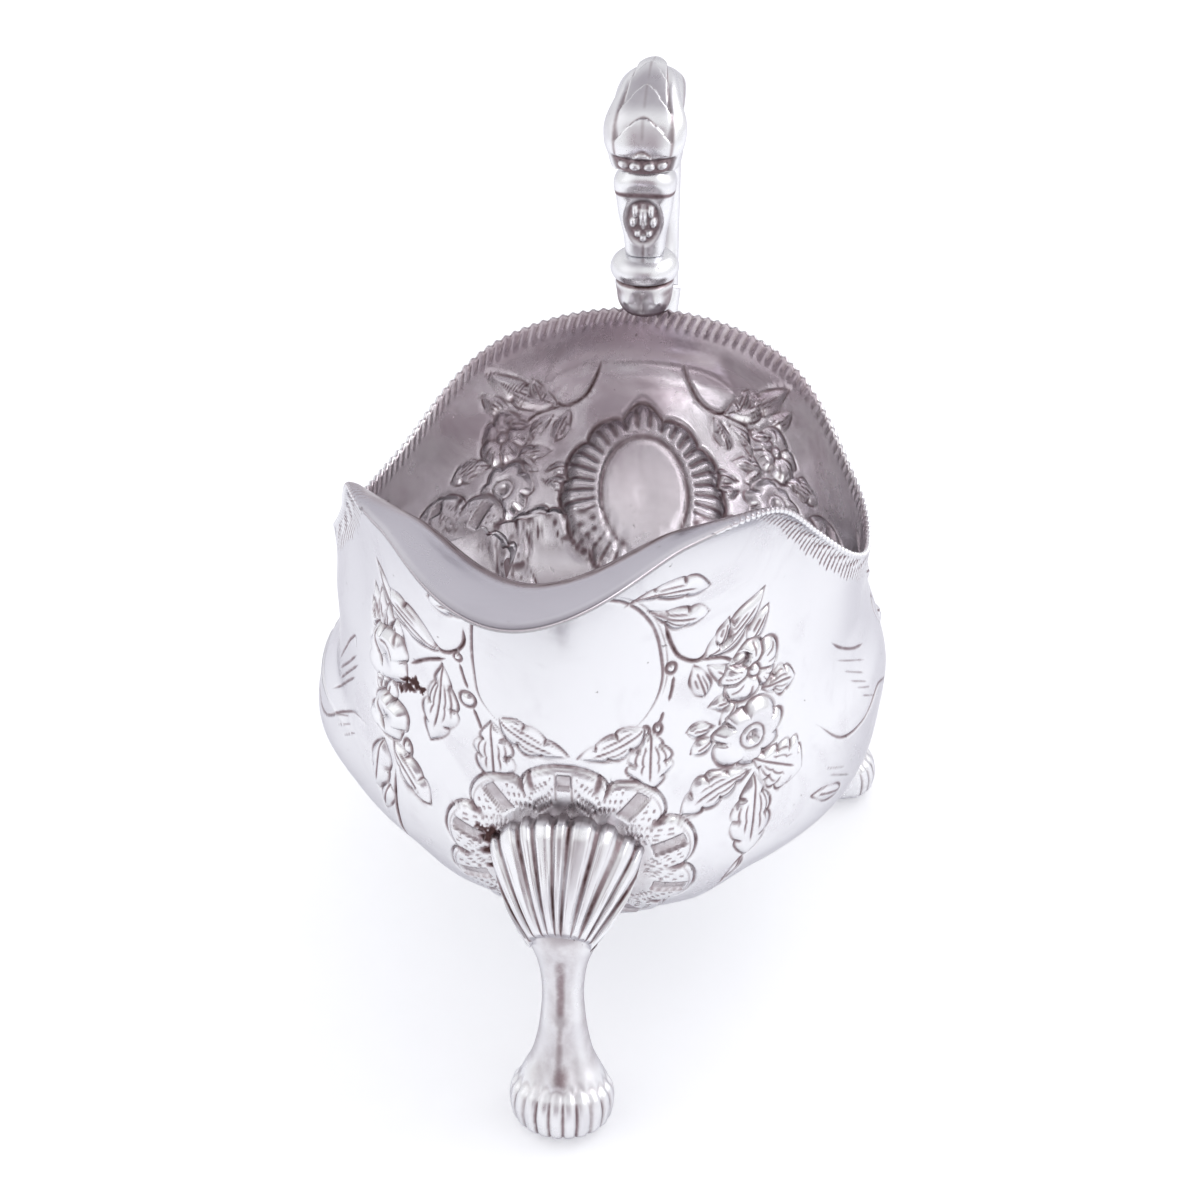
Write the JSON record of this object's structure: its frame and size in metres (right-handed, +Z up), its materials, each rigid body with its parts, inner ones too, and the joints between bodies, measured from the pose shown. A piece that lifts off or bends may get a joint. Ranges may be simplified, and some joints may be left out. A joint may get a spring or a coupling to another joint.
{
  "type": "sauce boat",
  "caption": "Footed silver sauce boat: deep round bowl with a long flared pouring lip, a high looped scroll handle and shell feet.",
  "frame": {"origin": "on the table, in the plane of symmetry, under the middle of the piece's length from lip to handle", "axes": "+Z up from the table, -Y towards the pouring lip, +Y towards the handle, X across the plane of symmetry"},
  "size_m": [0.09, 0.1629, 0.1299],
  "materials": {
    "sheet_silver": "polished raised sheet silver with chased ornament and tarnish left in the recesses",
    "cast_silver": "polished cast silver with tarnish left between the flutes"
  },
  "bodies": {
    "root": {"bowl": "sheet_silver", "front_leg": "cast_silver", "front_knee_shell": "cast_silver", "rear_left_leg": "cast_silver", "rear_left_knee_shell": "cast_silver", "rear_right_leg": "cast_silver", "rear_right_knee_shell": "cast_silver", "handle_rim_knop": "cast_silver", "handle_stem": "cast_silver", "handle_upper_scroll": "cast_silver", "handle_leaf_cap": "cast_silver", "handle_lower_scroll": "cast_silver"}
  },
  "joints": []
}
